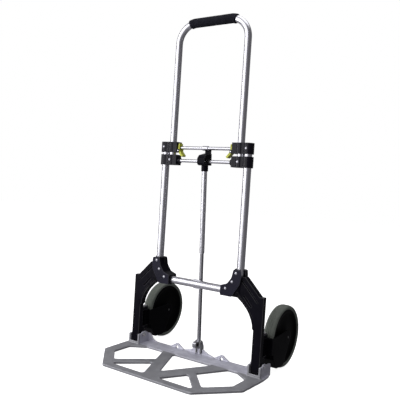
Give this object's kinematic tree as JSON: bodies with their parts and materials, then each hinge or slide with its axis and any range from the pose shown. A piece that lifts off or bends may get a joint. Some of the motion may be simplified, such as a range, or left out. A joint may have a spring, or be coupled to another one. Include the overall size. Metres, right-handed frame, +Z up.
{
  "type": "hand truck",
  "caption": "Folding two-wheel hand truck with telescopic U handle, ribbed grip, slotted toe plate and inward-folding wheels.",
  "frame": {"origin": "on the floor, midway between the wheels and midway between the toe plate's front edge and the back of the tyres", "axes": "+X to the right side, -Y to the front where the toe plate lies, +Z up"},
  "size_m": [0.482, 0.444, 0.9975],
  "materials": {
    "aluminium_tube": "satin drawn tube",
    "cast_aluminium": "matt cast",
    "black_plastic": "moulded, fine grain",
    "gusset_plate": "dark blue-grey satin coat",
    "grip_foam": "ribbed foam rubber",
    "yellow_plastic": "moulded",
    "zinc_steel": "bright zinc plated",
    "black_steel": "black zinc",
    "tread_rubber": "grey thermoplastic rubber",
    "wheel_plastic": "moulded",
    "bush_plastic": "natural nylon"
  },
  "bodies": {
    "frame": {"lower_tube_right": "aluminium_tube", "lower_tube_left": "aluminium_tube", "cross_tube": "aluminium_tube", "side_bracket_right": "black_plastic", "side_bracket_left": "black_plastic", "gusset_front_right": "gusset_plate", "gusset_front_left": "gusset_plate", "gusset_rear_right": "gusset_plate", "gusset_rear_left": "gusset_plate", "gusset_rivets_right": "zinc_steel", "gusset_rivets_left": "zinc_steel", "upper_clamp_right": "black_plastic", "upper_clamp_left": "black_plastic", "upper_clamp_rivets_right": "zinc_steel", "upper_clamp_rivets_left": "zinc_steel", "upper_crossbar": "aluminium_tube", "rod_guide": "aluminium_tube", "carrier_hinge_pin_right": "zinc_steel", "carrier_hinge_pin_left": "zinc_steel", "toe_hinge_pin_right": "zinc_steel", "toe_hinge_pin_left": "zinc_steel", "lever_pin_right": "zinc_steel", "lever_pin_left": "zinc_steel"},
    "handle": {"handle_tube": "aluminium_tube", "handle_grip": "grip_foam", "lower_crossbar": "aluminium_tube", "lower_clamp_right": "black_plastic", "lower_clamp_left": "black_plastic", "lower_clamp_rivets_right": "zinc_steel", "lower_clamp_rivets_left": "zinc_steel"},
    "rod_head": {"rod_upper_tube": "aluminium_tube", "rod_block": "black_plastic", "catch_pin": "zinc_steel"},
    "catch": {"catch_lever": "black_plastic"},
    "rod_foot": {"lower_rod": "aluminium_tube"},
    "toe": {"toe_plate": "cast_aluminium", "clevis_cheek_right": "black_steel", "clevis_cheek_left": "black_steel", "clevis_pin": "zinc_steel", "clevis_rivet": "zinc_steel"},
    "carrier_right": {"wheel_carrier_right": "black_plastic", "axle_right": "zinc_steel"},
    "wheel_right": {"tyre_right": "tread_rubber", "wheel_disc_right": "wheel_plastic", "wheel_bushes_right": "bush_plastic"},
    "lever_right": {"release_lever_right": "yellow_plastic"},
    "bolt_right": {"lock_pin_right": "zinc_steel"},
    "carrier_left": {"wheel_carrier_left": "black_plastic", "axle_left": "zinc_steel"},
    "wheel_left": {"tyre_left": "tread_rubber", "wheel_disc_left": "wheel_plastic", "wheel_bushes_left": "bush_plastic"},
    "lever_left": {"release_lever_left": "yellow_plastic"},
    "bolt_left": {"lock_pin_left": "zinc_steel"}
  },
  "joints": [
    {"name": "handle_slide", "type": "slide", "parent": "frame", "child": "handle", "axis": [0, 0, -1], "range_m": [0, 0.276]},
    {"name": "rod_head_slide", "type": "slide", "parent": "frame", "child": "rod_head", "axis": [0, 0.0541, -0.9985], "range_m": [0, 0.2766]},
    {"name": "lower_rod_slide", "type": "slide", "parent": "frame", "child": "rod_foot", "axis": [0, 0.0541, -0.9985], "range_m": [0, 0.0366]},
    {"name": "toe_plate_fold", "type": "hinge", "parent": "frame", "child": "toe", "pos_m": [0, 0.004, 0.0325], "axis": [-1, 0, 0], "range_deg": [0, 90]},
    {"name": "catch_tilt", "type": "hinge", "parent": "rod_head", "child": "catch", "pos_m": [0, 0.01355, 0.59621], "axis": [-1, 0, 0], "range_deg": [0, 8], "stiffness_Nm_per_rad": 0.3},
    {"name": "carrier_right_fold", "type": "hinge", "parent": "frame", "child": "carrier_right", "pos_m": [0.212, 0.028, 0.08], "axis": [0, 0, 1], "range_deg": [0, 90]},
    {"name": "wheel_right_spin", "type": "hinge", "parent": "carrier_right", "child": "wheel_right", "pos_m": [0.2165, 0.132, 0.09], "axis": [1, 0, 0], "continuous": true},
    {"name": "lock_pin_right_slide", "type": "slide", "parent": "frame", "child": "bolt_right", "axis": [-1, 0, 0], "range_m": [-0.0021, 0.0021], "stiffness_N_per_m": 300},
    {"name": "release_lever_right_tilt", "type": "hinge", "parent": "frame", "child": "lever_right", "pos_m": [0.091, 0, 0.6095], "axis": [0, -1, 0], "range_deg": [-7, 7]},
    {"name": "carrier_left_fold", "type": "hinge", "parent": "frame", "child": "carrier_left", "pos_m": [-0.212, 0.028, 0.08], "axis": [0, 0, -1], "range_deg": [0, 90]},
    {"name": "wheel_left_spin", "type": "hinge", "parent": "carrier_left", "child": "wheel_left", "pos_m": [-0.2165, 0.132, 0.09], "axis": [1, 0, 0], "continuous": true},
    {"name": "lock_pin_left_slide", "type": "slide", "parent": "frame", "child": "bolt_left", "axis": [1, 0, 0], "range_m": [-0.0021, 0.0021], "stiffness_N_per_m": 300},
    {"name": "release_lever_left_tilt", "type": "hinge", "parent": "frame", "child": "lever_left", "pos_m": [-0.091, 0, 0.6095], "axis": [0, 1, 0], "range_deg": [-7, 7]}
  ],
  "couplings": [
    {"joint": "rod_head_slide", "follows": "handle_slide", "ratio": 1.0015},
    {"joint": "lower_rod_slide", "follows": "handle_slide", "ratio": 0.13225},
    {"joint": "toe_plate_fold", "follows": "handle_slide", "rad_per_m": 5.6912},
    {"joint": "carrier_right_fold", "follows": "handle_slide", "rad_per_m": 5.6912},
    {"joint": "release_lever_right_tilt", "follows": "lock_pin_right_slide", "rad_per_m": 55.556},
    {"joint": "carrier_left_fold", "follows": "handle_slide", "rad_per_m": 5.6912},
    {"joint": "release_lever_left_tilt", "follows": "lock_pin_left_slide", "rad_per_m": 55.556}
  ]
}
